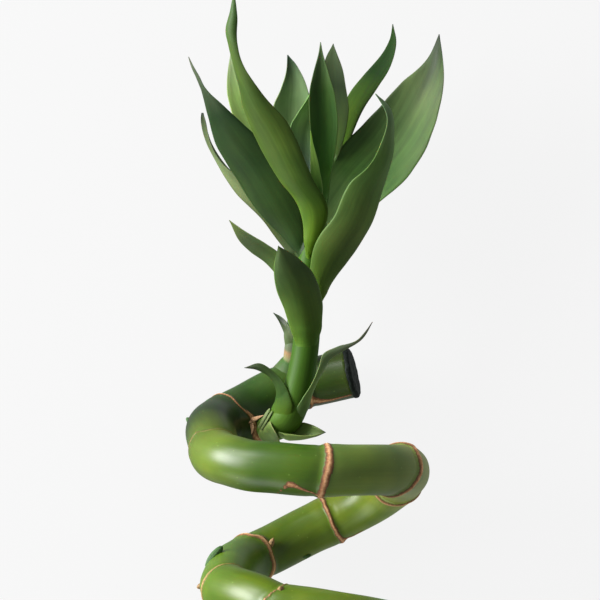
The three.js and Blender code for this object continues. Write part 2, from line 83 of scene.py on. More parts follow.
# Leaves and scale leaves, each between a left and a right edge, from its foot to its tip. ridge is how far
# its midrib stands above the edges, as a share of the width. The colours are those of its foot, its lower
# and upper blade and its tip, and that of a pale rim at its margin, which is painted light for light coming
# through the thin edge. Some leaves also give their roughness, how strong their pale streaks are, and how
# much of the rim's colour their midrib takes (rib).
BLADES = {
    "front_leaf": {
        "left": [(-5, -17.5, 40), (-6, -9.5, 42), (-9, -1, 47), (-11, 5, 52), (-11.5, 11.5, 57),
                 (-10, 18.5, 62)],
        "right": [(4.5, -17.5, 40), (5, -8.5, 42), (5, 0, 46), (2, 9, 51), (-3.5, 14.5, 56),
                  (-10, 18.5, 62)],
        "ridge": 0.22,
        "colours": ("#3c5a14", "#3c531a", "#354921", "#485b33", "#5d8035"),
    },
    "tall_leaf": {
        "left": [(-1, 13, 42.5), (-2.5, 31, 44), (-10.5, 42.5, 46.5), (-21.5, 64, 52), (-24, 74.5, 55),
                 (-27, 86.5, 59), (-28, 92.5, 61), (-26.4, 98.5, 61.7), (-25.6, 103, 62),
                 (-25.2, 105.5, 62)],
        "right": [(1, 13, 42.5), (7.2, 30.5, 44), (2, 41.5, 48.5), (-6.5, 60, 54), (-15.5, 70.5, 58),
                  (-21.5, 79.5, 61), (-24, 87.5, 63), (-24, 97, 63), (-24.6, 103, 62.4),
                  (-25.2, 105.5, 62)],
        "ridge": 0.15,
        "colours": ("#44640b", "#3a5018", "#354919", "#2d441e", "#4d6128"),
    },
    "right_front_leaf": {
        "left": [(0, 3.5, 42.3), (1, 11, 45), (3, 20, 48.5), (9.5, 29.5, 53.5), (14.5, 40, 57),
                 (21, 46, 60), (25.5, 54.5, 61), (27, 62, 61.5), (23, 70.5, 60)],
        "right": [(4.5, -5.5, 40.5), (8, 5, 41), (16.5, 17, 44), (22.5, 27, 47), (25.5, 37, 49),
                  (28.5, 46.5, 52), (29.5, 53, 55), (28.5, 65, 58), (23, 70.5, 60)],
        "ridge": 0.15,
        "colours": ("#405b12", "#425523", "#3f5c27", "#5b7353", "#476628"),
    },
    "left_leaf": {
        "left": [(-1.5, 12.5, 38), (-9.5, 22.5, 38), (-17.5, 31, 40), (-25, 42.5, 41), (-31.5, 54, 43),
                 (-34.7, 64.5, 45), (-36.6, 72.5, 47.3), (-38.3, 76.5, 48.3), (-39.9, 80, 49.3),
                 (-41, 83.8, 50)],
        "right": [(0.5, 14.5, 38), (-1, 23.5, 40.5), (-4.2, 37, 43.8), (-10.5, 49.5, 47), (-18, 57, 49.5),
                  (-27, 65, 51), (-35.3, 73, 51), (-37.2, 77, 50.8), (-39.4, 81, 50.5), (-41, 83.8, 50)],
        "ridge": 0.1,
        "rib": 0.0,
        "colours": ("#142b0a", "#223710", "#12270a", "#414a36", "#375533"),
    },
    "young_leaf": {
        "left": [(1.8, 24, 40.3), (1.3, 34, 42), (1, 43, 43.5), (1, 52, 45), (1, 58.5, 46)],
        "right": [(4, 24, 40.3), (5, 33, 42), (5, 40.5, 43.5), (3, 50, 45), (1, 58.5, 46)],
        "ridge": -0.1,
        "colours": ("#76b53b", "#12470a", "#88b552", "#85b546", "#8da266"),
    },
    "centre_leaf": {
        "left": [(3.5, 27, 38), (2.5, 41.5, 41), (1, 60.5, 43), (0.5, 70, 44), (2, 78, 45.5),
                 (3.8, 84.8, 46.9), (4.5, 89, 47.5)],
        "right": [(6, 27, 38), (8, 41.5, 41), (10.5, 59, 43), (10, 67.5, 44), (7.5, 77.5, 45.5),
                  (5.3, 84.8, 46.9), (4.5, 89, 47.5)],
        "ridge": -0.2,
        "colours": ("#5c8d44", "#2d5514", "#2c4919", "#465837", "#5d7642"),
    },
    "broad_leaf": {
        "left": [(5, 23.5, 37), (6, 40, 34.5), (10.5, 51.5, 32.5), (20.5, 62.5, 30), (32.5, 75.5, 28.5),
                 (41.5, 84, 28.5), (46, 93, 30)],
        "right": [(7.5, 22, 37), (15.5, 27.5, 38), (25, 34, 39), (35.5, 43.5, 39), (43.5, 58.5, 38),
                  (47.5, 77, 35), (46, 93, 30)],
        "ridge": -0.12,
        "roughness": 0.56,
        "streaks": 0.32,
        "colours": ("#90b06d", "#41622a", "#42542e", "#121f0a", "#61724d"),
    },
    "low_left_leaf": {
        "left": [(-2.5, 10, 31.5), (-9, 19, 27.5), (-16, 28.5, 25), (-24.5, 37, 24), (-30.5, 45.5, 24.5),
                 (-35.5, 55.5, 26.5), (-37, 62.5, 28.5), (-37, 65.5, 30)],
        "right": [(-1, 14, 34), (-6, 23.5, 35), (-16, 33, 35), (-23.5, 42.5, 34.5), (-28, 46, 34),
                  (-33.5, 54, 33), (-36, 63, 31), (-36.5, 65.5, 30)],
        "ridge": -0.1,
        "colours": ("#1f3213", "#374121", "#576540", "#121e0a", "#4d5b3b"),
    },
    "back_leaf": {
        "left": [(0.5, 35, 28.5), (3, 56, 28), (4.5, 73.5, 28), (6, 83.5, 30), (9, 89.5, 32)],
        "right": [(3.5, 35, 29.5), (11.5, 52.5, 34), (14, 65, 36), (12.5, 79, 34), (9, 89.5, 32)],
        "ridge": -0.15,
        "roughness": 0.92,
        "colours": ("#121e0a", "#2d4015", "#121e0a", "#323f27", "#404d2f"),
    },
    # this leaf's foot and blade colours are lightened with painted light, for light coming through the thin
    # blade where the leaves above shade it
    "far_left_leaf": {
        "left": [(-4, 30, 24), (-11.5, 44, 24.5), (-20, 55.5, 25.5), (-25.5, 63, 26), (-28, 71, 26),
                 (-28.2, 78.5, 26.5), (-26.5, 88.5, 28)],
        "right": [(-1.5, 31, 23.5), (-6, 47.5, 25), (-13, 61.5, 26.5), (-19.5, 72, 27.5), (-23.5, 80, 28),
                  (-25.5, 84, 28), (-26.5, 88.5, 28)],
        "ridge": -0.12,
        "colours": ("#738a49", "#738a49", "#698444", "#677056", "#91a273"),
    },
    "middle_leaf": {
        "left": [(-1.5, 33.5, 26), (-5.5, 47.5, 26.5), (-6, 60.5, 27), (-3.5, 65, 27), (0, 71, 26.5),
                 (3, 77, 25)],
        "right": [(1, 33.5, 26), (3.5, 47.5, 24), (5, 59.5, 23.5), (5, 68.5, 23.5), (4, 73.5, 24),
                  (3, 77, 25)],
        "ridge": -0.15,
        "colours": ("#598a32", "#556758", "#87b565", "#659938", "#3f5f2c"),
    },
    "small_left_leaf": {
        "left": [(-5, 1.5, 22), (-9.5, 7, 21), (-14.5, 13, 20), (-20, 17, 20.5), (-24.5, 21.5, 22),
                 (-27.5, 28, 24)],
        "right": [(-4, 10, 25.5), (-10.5, 17, 28), (-14.5, 19.5, 28.5), (-18.5, 22, 28), (-23, 25, 26.5),
                  (-27.5, 28, 24)],
        "ridge": -0.12,
        "colours": ("#3e541f", "#324617", "#374527", "#4d5a26", "#5c6c3c"),
    },
    "upper_right_leaf": {
        "left": [(0, 37, 21), (8, 56, 18), (14, 71.5, 18), (20, 79.5, 19), (25.5, 85.5, 20.5),
                 (29, 91.5, 22), (30, 97, 23)],
        "right": [(3, 37, 23), (13, 52.5, 26), (19, 65.5, 28), (25, 75, 28), (29.5, 83, 27),
                  (31, 90.5, 25), (30, 97, 23)],
        "ridge": -0.15,
        "roughness": 0.9,
        "colours": ("#13290a", "#3f5a12", "#142c0a", "#172e0a", "#344c12"),
    },
    # this leaf's foot and blade colours are lightened with painted light, for light coming through the thin
    # blade where the leaves above shade it
    "upper_left_leaf": {
        "left": [(-3.5, 33.5, 20.5), (-9.5, 47.5, 18.5), (-12.5, 60, 18), (-12, 68.5, 18), (-9.5, 74, 18),
                 (-7.5, 80.5, 18), (-7, 86.5, 18)],
        "right": [(-1, 33.5, 20.5), (1.5, 47.5, 17), (2, 60, 16.5), (1.5, 68.5, 16.5), (-0.5, 76, 17),
                  (-4, 83, 17.5), (-7, 86.5, 18)],
        "ridge": -0.15,
        "colours": ("#859668", "#859668", "#7c9667", "#182f23", "#8ca26f"),
    },
    "base_right_scale": {
        "left": [(-4.5, -39, 41.5), (-2, -34.5, 42), (2, -28, 42), (4, -23, 42.5), (5.5, -18.5, 43),
                 (10.5, -16, 43), (17, -14, 43), (22.5, -7.5, 44)],
        "right": [(-2.5, -42, 38), (0.5, -36, 38), (2.5, -30.5, 39), (5, -25.5, 40), (8, -20.5, 41),
                  (12.5, -17.5, 42), (19, -13.5, 42.5), (22.5, -7.5, 44)],
        "ridge": 0.1,
        "colours": ("#455c33", "#57713a", "#5a654e", "#434538", "#5f6d42"),
    },
    "base_left_scale": {
        "left": [(-12.5, -41, 33), (-11.5, -36, 35), (-11, -31.5, 37), (-13.5, -26.5, 38),
                 (-17, -24.5, 38), (-22, -23.5, 38)],
        "right": [(-6, -41, 39.5), (-5, -36.5, 41), (-7, -31, 41), (-10, -26.5, 39.5), (-16.5, -22, 38.5),
                  (-22, -23.5, 38)],
        "ridge": 0.15,
        "roughness": 0.8,
        "colours": ("#3d570c", "#20390a", "#273915", "#363e2f", "#3a5111"),
    },
    "base_front_scale": {
        "left": [(-11.8, -46, 37), (-9.5, -46.2, 38.5), (-5.6, -46.6, 39.5), (-1.4, -47.1, 39.8),
                 (2.3, -47, 39.5), (6.3, -45.9, 39)],
        "right": [(-9.5, -42.5, 30), (-8, -41.8, 31), (-5, -41.5, 32), (-2.5, -42.2, 33.5),
                  (1.2, -43.3, 36), (6.3, -45.9, 39)],
        "ridge": 0.62,
        "colours": ("#99b566", "#778f4b", "#6c8147", "#121e0c", "#7c8a48"),
    },
    "base_collar_scale": {
        "left": [(-18, -43.5, 31), (-17, -47.5, 32.5), (-14.5, -50, 34), (-9.5, -49.5, 38)],
        "right": [(-14, -41, 37), (-12, -44.5, 40), (-10.5, -47, 40.5), (-9.5, -49.5, 38)],
        "ridge": 0.1,
        "colours": ("#818c53", "#5b7036", "#526439", "#66773a", "#999865"),
    },
    "rear_scale": {
        "left": [(-8, -17, 16), (-8, -12.5, 17), (-9.5, -8.5, 18), (-12, -4.5, 18)],
        "right": [(-3.5, -16.5, 22), (-4.2, -13, 22.5), (-6.2, -9.3, 21.5), (-8.8, -6.3, 19.2),
                  (-12, -4.5, 18)],
        "ridge": 0.15,
        "colours": ("#3f502b", "#495738", "#121f0a", "#1c2e13", "#606d4e"),
    },
}

# Leaf scars round the cane: how far along the cane each one is at an angle round it, half its width, how
# far it stands proud, and how dry its cork is.
SCARS = [
    ([(-60, 17.3), (60, 17.6), (150, 16.2)], 0.6, 0.35, 0.8),
    ([(-104, 51.6), (-141, 53.0), (174, 48.5), (150, 46.5), (90, 47.0), (0, 49.0), (-60, 50.5)],
     0.85, 0.4, 0.9),
    ([(-12, 85.7), (-34, 85.2), (-65, 87.8), (-80, 88.3), (-140, 88.0), (140, 86.5), (60, 86.0)],
     0.4, 0.25, 0.4),
    ([(-57, 134.6), (-38, 134.5), (-21, 134.2), (-4, 133.7), (13, 133.1), (31, 132.7),
      (44, 132.4), (59, 132.2), (110, 132.5), (180, 134.0), (-110, 135.0)], 1.25, 0.55, 1.0),
    ([(-65, 174.3), (-46, 171.2), (-30, 169.9), (-11, 169.3), (4, 168.8), (18, 167.5),
      (32, 166.4), (43, 165.6), (61, 164.1), (120, 164.5), (180, 168.5), (-120, 173.0)],
     1.5, 0.75, 0.95),
    ([(144, 200.3), (129, 200.1), (115, 199.4), (101, 198.5), (88, 197.8), (72, 196.2),
      (20, 196.0), (-40, 198.0), (-120, 200.0)], 1.0, 0.55, 0.9),
    ([(-114, 230.1), (-145, 229.7), (-170, 229.5), (164, 230.0), (135, 230.1), (113, 229.9),
      (60, 231.0), (0, 230.5), (-60, 230.0)], 1.0, 0.5, 1.0),
    ([(-106, 265.2), (-128, 262.6), (-151, 262.4), (-173, 263.2), (155, 262.3), (128, 262.4),
      (90, 262.0), (0, 263.0), (-60, 264.5)], 1.9, 0.7, 0.85),
    ([(-41, 305.3), (-87, 305.1), (-126, 302.5), (180, 302.0), (90, 303.0), (0, 305.0)],
     0.9, 0.3, 0.5),
    ([(-22, 330.5), (-36, 331.1), (-49, 331.9), (-59, 333.0), (-120, 334.0), (180, 332.0),
      (90, 330.0), (20, 330.0)], 0.4, 0.3, 0.75),
    ([(0, 383.4), (120, 385.0), (-120, 382.0)], 0.9, 0.5, 0.9),
    ([(-30, 434.5), (60, 432.0), (180, 433.0)], 0.8, 0.45, 0.9),
    ([(0, 469.5), (90, 468.0), (180, 467.0)], 0.9, 0.5, 0.8),
    ([(0, 511.0), (-90, 512.5), (90, 511.0)], 0.8, 0.45, 0.9),
    ([(0, 551.5), (180, 550.0), (90, 551.0)], 0.7, 0.4, 0.9),
]

# Tan lines where a dried leaf base tore off, each through points of (how far along the cane, angle round
# it, half width).
TORN_LINES = [
    [(118.6, 78, 0.35), (121.5, 47, 0.45), (123.6, 30, 1.1), (126.8, 43, 0.6), (128.9, 53, 0.45),
     (131.4, 65, 0.45), (132.2, 74, 0.6)],
    [(17.2, 148, 1.8), (16.4, 134, 2.3), (12.4, 123, 1.5), (8.5, 118, 0.8), (4.6, 118, 0.6),
     (0.6, 118, 0.5)],
    [(49.5, -165, 0.6), (47.0, 178, 1.0), (47.5, 160, 1.4), (48.5, 145, 1.1), (45.0, 128, 1.3),
     (41.0, 116, 1.0)],
    [(222.0, 97, 0.5), (225.9, 94, 0.6), (228.5, 101, 0.8), (229.5, 114, 0.8)],
]

# Swellings of the cane, each at a distance along it and an angle round it, with its height, its half
# length and its half width in degrees.
SWELLINGS = [
    (45.0, 124, 4.3, 7.5, 38),
]

# Dormant buds on the scars: where each sits, which way it points, its length and radius, and if it is dry.
BUDS = [
    ((-40.8, -42.0, 38.0), (-0.7, 0.6, 0.3), 1.8, 1.1, False),
    ((-12.7, -85.6, 21.0), (0.35, 0.85, 0.3), 2.2, 1.0, True),
    ((-32.4, -88.7, 42.0), (-0.62, -0.72, 0.3), 4.7, 1.5, False),
    ((-36.7, -98.7, 46.0), (-0.8, -0.3, 0.3), 1.7, 1.1, True),
    ((-9.0, -97.5, 79.0), (-0.2, 0.6, 0.8), 1.8, 1.2, True),
    ((-0.3, -90.6, 13.2), (0.9, 0.2, -0.2), 1.7, 0.8, False),
    ((-18.5, -199.0, 17.0), (0.0, 0.4, 0.9), 2.3, 1.9, False),
]

# Colours of the cane's skin, each at a distance along it, with light and shade painted in: the stops up to
# 70 mm, where the cane lies low under the turn above, are darkened with painted shade, and the stop at 97
# mm on the left bend is lightened with a painted highlight. Then the colours of its scars from the middle
# outwards: the pale tan middle is partly the cork's own colour and partly a painted highlight on the raised
# scar, and the dark brown edges are partly the cork's own colour and partly painted shade on the scar's
# flanks.
CANE_COLOURS = [
    (0, "#2b3a0a"), (29, "#29440f"), (70, "#12250a"), (97, "#52641a"), (113, "#2f4a09"),
    (129, "#324f09"), (136, "#506526"), (145, "#5d7226"), (158, "#4b601d"), (172, "#6a792e"),
    (192, "#737e34"), (210, "#657b1c"), (250, "#3d510f"), (290, "#446214"), (320, "#43570a"),
    (400, "#68832f"), (583, "#5f7a30"),
]
CORK_COLOURS = ("#d4a77e", "#986a45", "#644027", "#382316")

# Shoot stems: centreline, with the stem's radius at each point, and its colours at shares of its length.
SHOOTS = {
    "front_shoot": {
        "path": [(-16.5, -42.5, 15), (-15.2, -44.5, 21.5), (-12.8, -45, 27.5), (-10.5, -43.5, 32),
                 (-7.5, -41, 34.5), (-5, -36, 36), (-3, -29.5, 36.7), (-1, -19, 37), (0, -7, 37),
                 (0, 5, 37), (0.5, 13, 37.5), (2, 21.5, 37.7), (3.5, 27, 37.7)],
        "radii": [3.2, 3.4, 4.6, 5.4, 5.7, 5.5, 5, 4.6, 4.6, 4.4, 4, 3, 1.5],
        "colours": [(0.0, "#3c5a1c"), (0.12, "#55702b"), (0.2, "#486520"), (0.32, "#355213"),
                    (0.45, "#2e4b0f"), (0.62, "#2f4e0e"), (1.0, "#2f4e0e")],
    },
    "rear_shoot": {
        "path": [(-6, -26, 11), (-5.7, -23.3, 13), (-5.3, -20.8, 14.8), (-4.9, -16, 17), (-3.8, -5.5, 20),
                 (-3, 3.5, 22), (-2, 17.5, 23.5), (-1, 33.5, 24)],
        "radii": [6.8, 4.9, 3.3, 3.1, 3.1, 3.2, 3, 1.4],
        "colours": [(0.0, "#454e35"), (0.1, "#304d1f"), (0.118, "#6e714e"), (0.155, "#826748"),
                    (0.172, "#545b44"), (0.4, "#4c6f50"), (0.6, "#2f5426"), (1.0, "#2f5426")],
    },
}

# Torn shreds of the first leaf bases, at the foot of the front shoot. Each lies between two edges.
DRY_SHREDS = [
    ([(-20.5, -41.6, 25.5), (-18.6, -40.8, 28.2), (-15.2, -40.2, 31.0)],
     [(-20.0, -43.0, 26.0), (-18.0, -42.2, 28.8), (-15.2, -40.2, 31.0)]),
    ([(-20.2, -43.0, 26.8), (-19.9, -45.0, 27.6), (-19.6, -47.0, 27.5)],
     [(-19.0, -43.0, 27.8), (-18.8, -45.0, 28.4), (-19.6, -47.0, 27.5)]),
    ([(-19.8, -41.9, 27.0), (-20.8, -42.6, 27.2), (-21.8, -43.3, 26.8)],
     [(-19.5, -42.9, 27.6), (-20.6, -43.2, 27.6), (-21.8, -43.3, 26.8)]),
]
FRESH_STRIPS = [
    ([(-17.5, -44.2, 31.2), (-16.5, -42.6, 33.3), (-15.4, -40.7, 34.3), (-14.3, -38.9, 34.4),
      (-13.1, -37.6, 35.4)],
     [(-16.7, -44.8, 32.4), (-15.7, -43.2, 34.5), (-14.6, -41.3, 35.5), (-13.6, -39.5, 35.4),
      (-12.9, -37.9, 35.8)]),
    ([(-16.4, -44.9, 33.8), (-15, -42.4, 35.7), (-13.6, -40.1, 36.7), (-12.3, -38.4, 37.7)],
     [(-15.8, -45.3, 34.8), (-14.4, -42.8, 36.7), (-13, -40.5, 37.7), (-12.1, -38.7, 38.2)]),
]


# ---------------------------------------------------------------- lines
class Line:
    """A smooth line through points, measured along its length in millimetres."""

    steps = 24

    def __init__(self, points):
        knots = [Vector(point) for point in points]
        knots = [2 * knots[0] - knots[1], *knots, 2 * knots[-1] - knots[-2]]
        self.points = []
        for p0, p1, p2, p3 in zip(knots, knots[1:], knots[2:], knots[3:]):
            d0, d1, d2 = (math.sqrt((b - a).length) for a, b in ((p0, p1), (p1, p2), (p2, p3)))
            leave = ((p1 - p0) / d0 - (p2 - p0) / (d0 + d1) + (p2 - p1) / d1) * d1
            arrive = ((p2 - p1) / d1 - (p3 - p1) / (d1 + d2) + (p3 - p2) / d2) * d1
            for step in range(self.steps):
                t = step / self.steps
                square = 3 * (p2 - p1) - 2 * leave - arrive
                cube = 2 * (p1 - p2) + leave + arrive
                self.points.append(p1 + leave * t + square * t * t + cube * t * t * t)
        self.points.append(knots[-2])
        self.reached = [0.0]
        for a, b in zip(self.points, self.points[1:]):
            self.reached.append(self.reached[-1] + (b - a).length)
        self.length = self.reached[-1]

    def place(self, distance):
        """The index of the step that holds a distance, and how far into it the distance is."""
        index = min(max(bisect.bisect_right(self.reached, distance) - 1, 0), len(self.points) - 2)
        span = self.reached[index + 1] - self.reached[index]
        return index, (distance - self.reached[index]) / span

    def at(self, distance):
        """The point at a distance along the line."""
        index, share = self.place(distance)
        return self.points[index].lerp(self.points[index + 1], share)

    def heading(self, distance):
        """The direction of the line at a distance, over 0.3 mm each way."""
        ahead, behind = min(distance + 0.3, self.length), max(distance - 0.3, 0)
        return (self.at(ahead) - self.at(behind)).normalized()


def mix(values, share):
    """The value at a share of the way through a list of evenly spaced values."""
    place = min(max(share, 0.0), 1.0) * (len(values) - 1)
    index = min(int(place), len(values) - 2)
    return values[index] + (values[index + 1] - values[index]) * (place - index)


def bump(distance, width):
    """A smooth hill, 1 high at its middle and 0.37 high a width away."""
    return math.exp(-((distance / width) ** 2))


def eased(share):
    """A share from 0 to 1 that starts and ends gently."""
    return share * share * (3 - 2 * share)


def wobble(x, y, z):
    """Smooth noise from -1 to 1, the same on every run."""
    return noise.noise(Vector((x, y, z)))


# ---------------------------------------------------------------- pieces
def finish_piece(name, drawn, material, node=None):
    """A smooth piece from a bmesh drawn in millimetres, placed in the frame and riding on the stalk. It may
    stand in for one node of the frame."""
    shift = Matrix.Translation((-DRAWING_CENTRE[0] * MM, -DRAWING_CENTRE[1] * MM, 0))
    bmesh.ops.transform(drawn, matrix=shift @ Matrix.Scale(MM, 4), verts=drawn.verts)
    for face in drawn.faces:
        face.smooth = True
    mesh = bpy.data.meshes.new(name)
    drawn.to_mesh(mesh)
    drawn.free()
    piece = bpy.data.objects.new(name, mesh)
    bpy.context.collection.objects.link(piece)
    mesh.materials.append(material)
    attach(piece, "root")
    if node:
        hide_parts(node)
    return piece


def tube(line, rows, sides, upright, radius_at, marks_at):
    """A closed bar along a line. Each row has a distance along the line and a share of the radius.

    The attribute "unbent" holds where a point would be if the bar were straight, in millimetres, and
    "marks" holds what marks_at says for it.
    """
    bar = bmesh.new()
    unbent = bar.verts.layers.float_vector.new("unbent")
    marks = bar.verts.layers.float_vector.new("marks")
    bmesh.ops.create_grid(bar, x_segments=sides, y_segments=len(rows) - 1, size=0.5)
    places = []
    for distance, share in rows:
        centre, tangent = line.at(distance), line.heading(distance)
        out = upright(centre)
        out = (out - tangent * out.dot(tangent)).normalized()
        places.append((centre, out, tangent.cross(out), distance, share))
    for vert in bar.verts:
        centre, out, side, distance, share = places[round((vert.co.y + 0.5) * (len(rows) - 1))]
        angle = 2 * math.pi * (round((vert.co.x + 0.5) * sides) % sides) / sides
        radius = radius_at(distance, angle) * share
        across = out * math.cos(angle) + side * math.sin(angle)
        vert.co = centre + across * radius
        vert[unbent] = (radius * math.cos(angle), radius * math.sin(angle), distance)
        vert[marks] = marks_at(distance, angle, share)
    bmesh.ops.remove_doubles(bar, verts=bar.verts, dist=1e-4)
    bmesh.ops.recalc_face_normals(bar, faces=bar.faces)
    return bar


def blade(shape, rows, columns, wave, seed):
    """The middle sheet of a leaf between its two edges, from foot to tip, with margins that wave.

    The attribute "blade" holds the place across from -1 to 1, the place along from 0 to 1, and the
    distance to the margin in millimetres. "veins" holds the place across and along in millimetres, and
    the seed.
    """
    left, right = Line(shape["left"]), Line(shape["right"])
    sheet = bmesh.new()
    place = sheet.verts.layers.float_vector.new("blade")
    veins = sheet.verts.layers.float_vector.new("veins")
    bmesh.ops.create_grid(sheet, x_segments=columns, y_segments=rows, size=0.5)
    length = (left.length + right.length) / 2
    for vert in sheet.verts:
        # the last row stops just short of the tip, where the two edges meet
        across, along = vert.co.x + 0.5, (vert.co.y + 0.5) * 0.998
        start, end = left.at(along * left.length), right.at(along * right.length)
        span = end - start
        width = span.length
        run = (left.heading(along * left.length) + right.heading(along * right.length)).normalized()
        up = span.cross(run).normalized()
        side = 2 * across - 1
        # the margin wanders by up to 0.3 mm in every 7 mm or so
        waver = 0.3 * side ** 3 * wobble(along * length / 7, 2 * side, seed + 9) * min(1, 8 * (1 - along))
        start = start + span.normalized() * waver
        # a blade is arched, with a slight crease at its midrib
        arch = 4 * across * (1 - across)
        crease = 1 - abs(side)
        height = shape["ridge"] * width * (0.85 * arch + 0.15 * crease)
        # and it ripples up and down towards its margins, over 14 mm or so
        ripple = wave * abs(side) ** 3 * wobble(along * length / 14, 3 * across, seed) * min(1, 6 * along)
        vert.co = start + span * across + up * (height + ripple)
        vert[place] = (side, along, width * (0.5 - abs(across - 0.5)))
        vert[veins] = (width * (across - 0.5), along * length, seed)
    return sheet


def thicken(piece, thickness):
    """Gives a sheet its thickness in millimetres, and half of that at the margins."""
    mesh = piece.data
    group = piece.vertex_groups.new(name="body")
    for index, value in enumerate(mesh.attributes["blade"].data):
        from_margin = value.vector[2]
        group.add([index], min(1.0, 0.45 + from_margin / 2), "REPLACE")
    solidify = piece.modifiers.new("thickness", "SOLIDIFY")
    solidify.thickness = thickness * MM
    solidify.offset = 0.0
    solidify.vertex_group = "body"


# ---------------------------------------------------------------- materials
def linear(colour):
    """An sRGB hex colour as linear red, green, blue and full alpha."""
    parts = [int(colour[i:i + 2], 16) / 255 for i in (1, 3, 5)]
    return [c / 12.92 if c <= 0.04045 else ((c + 0.055) / 1.055) ** 2.4 for c in parts] + [1.0]


def add(material, kind, settings=None, links=None, stops=None):
    """A node with its settings and links. A link comes from a socket, or from the first output that a node
    has in use. stops are a colour ramp's (place, hex colour) pairs."""
    node = material.node_tree.nodes.new(kind)
    for name, value in (settings or {}).items():
        if isinstance(name, str) and hasattr(node, name):
            setattr(node, name, value)
        else:
            node.inputs[name].default_value = linear(value) if isinstance(value, str) else value
    for name, source in (links or {}).items():
        if isinstance(source, bpy.types.Node):
            source = next(socket for socket in source.outputs if socket.enabled)
        material.node_tree.links.new(source, node.inputs[name])
    if stops:
        elements = node.color_ramp.elements
        while len(elements) < len(stops):
            elements.new(0.5)
        for element, (position, colour) in zip(elements, stops):
            element.position = position
            element.color = linear(colour)
    return node


def three_values(material, attribute):
    """The sockets of the three values that an attribute of the mesh holds."""
    held = add(material, "ShaderNodeAttribute", {"attribute_name": attribute})
    return add(material, "ShaderNodeSeparateXYZ", links={0: held.outputs["Vector"]}).outputs


def drawn_out(material, place, stretch, settings):
    """Noise drawn out along the fibres. stretch says how many of its spots a millimetre holds each way."""
    stretched = add(material, "ShaderNodeVectorMath", {"operation": "MULTIPLY", 1: stretch}, {0: place})
    return add(material, "ShaderNodeTexNoise", {"Scale": 1.0, **settings}, {"Vector": stretched})


def tinted(material, colour, pattern, **ranges):
    """A colour whose Value, or Value and Hue, follow a noise pattern, which seldom leaves 0.3 to 0.7."""
    links = {"Color": colour}
    for name, (low, high) in ranges.items():
        links[name] = add(material, "ShaderNodeMapRange", {1: 0.3, 2: 0.7, 3: low, 4: high}, {0: pattern})
    return add(material, "ShaderNodeHueSaturation", links=links)


def start_material(name):
    """A material with no nodes yet."""
    material = bpy.data.materials.new(name)
    material.use_nodes = True
    material.node_tree.nodes.clear()
    return material


def end_material(material, settings, links):
    """The material, finished by its shader."""
    shader = add(material, "ShaderNodeBsdfPrincipled", settings, links)
    add(material, "ShaderNodeOutputMaterial", links={"Surface": shader})
    return material


def leaf_material(name, shape):
    """A live leaf with a satin cuticle: parallel veins run its whole length, the midrib is a little
    paler, and a fine pale rim along its thin margins is painted light, for light coming through them."""
    foot, lower, upper, tip, rim = shape["colours"]
    rib, streaks = shape.get("rib", 0.02), shape.get("streaks", 0.16)
    roughness = shape.get("roughness", 0.5)
    material = start_material(name)
    across, along, from_margin = three_values(material, "blade")
    # the last number of each stretch only makes the leaves differ from one another
    veins = add(material, "ShaderNodeAttribute", {"attribute_name": "veins"}).outputs["Vector"]
    # veins about 0.6 mm apart and 35 mm long before they merge
    vein = drawn_out(material, veins, (1.6, 0.03, 1.0), {"Detail": 3.0, "Roughness": 0.6})
    # streaks about 3 mm wide and 40 mm long
    streak = drawn_out(material, veins, (0.33, 0.025, 1.7), {"Detail": 2.0, "Distortion": 0.3})
    # clouds about 8 mm wide and 18 mm long
    cloud = drawn_out(material, veins, (0.12, 0.055, 2.3), {"Detail": 3.0})
    green = add(material, "ShaderNodeValToRGB", links={0: along},
                stops=[(0.0, foot), (0.3, lower), (0.72, upper), (1.0, tip)])
    clouded = tinted(material, green, cloud, Value=(0.84, 1.16), Hue=(0.51, 0.49))
    streaked = tinted(material, clouded, streak, Value=(1 - streaks, 1 + streaks))
    veined = tinted(material, streaked, vein, Value=(0.92, 1.08))
    # the midrib fades out over the first tenth of the way to either margin
    beside = add(material, "ShaderNodeMath", {"operation": "ABSOLUTE"}, {0: across})
    rib_share = add(material, "ShaderNodeMapRange",
                    {"interpolation_type": "SMOOTHSTEP", 1: 0.01, 2: 0.09, 3: rib, 4: 0.0}, {0: beside})
    ribbed = add(material, "ShaderNodeMix", {"data_type": "RGBA", "B": rim},
                 {"A": veined, "Factor": rib_share})
    # the painted rim of light is 0.3 mm wide, and missing at the foot and at the tip
    rim_share = add(material, "ShaderNodeMapRange",
                    {"interpolation_type": "SMOOTHSTEP", 1: 0.0, 2: 0.3, 3: 0.5, 4: 0.0}, {0: from_margin})
    before_tip = add(material, "ShaderNodeMapRange", {1: 0.8, 2: 0.93, 3: 1.0, 4: 0.0}, {0: along})
    past_foot = add(material, "ShaderNodeMapRange", {1: 0.05, 2: 0.25, 3: 0.0, 4: 1.0}, {0: along})
    rim_kept = add(material, "ShaderNodeMath", {"operation": "MULTIPLY"}, {0: rim_share, 1: before_tip})
    rim_seen = add(material, "ShaderNodeMath", {"operation": "MULTIPLY"}, {0: rim_kept, 1: past_foot})
    rimmed = add(material, "ShaderNodeMix", {"data_type": "RGBA", "B": rim},
                 {"A": ribbed, "Factor": rim_seen})
    sheen = add(material, "ShaderNodeMapRange",
                {1: 0.3, 2: 0.7, 3: roughness - 0.05, 4: roughness + 0.07}, {0: streak})
    relief = add(material, "ShaderNodeBump", {"Strength": 0.3, "Distance": 0.0001}, {"Height": vein})
    return end_material(
        material,
        {"IOR": 1.42, "Specular IOR Level": 0.2, "Subsurface Weight": 0.05, "Subsurface Scale": 0.001},
        {"Base Color": rimmed, "Roughness": sheen, "Normal": relief},
    )


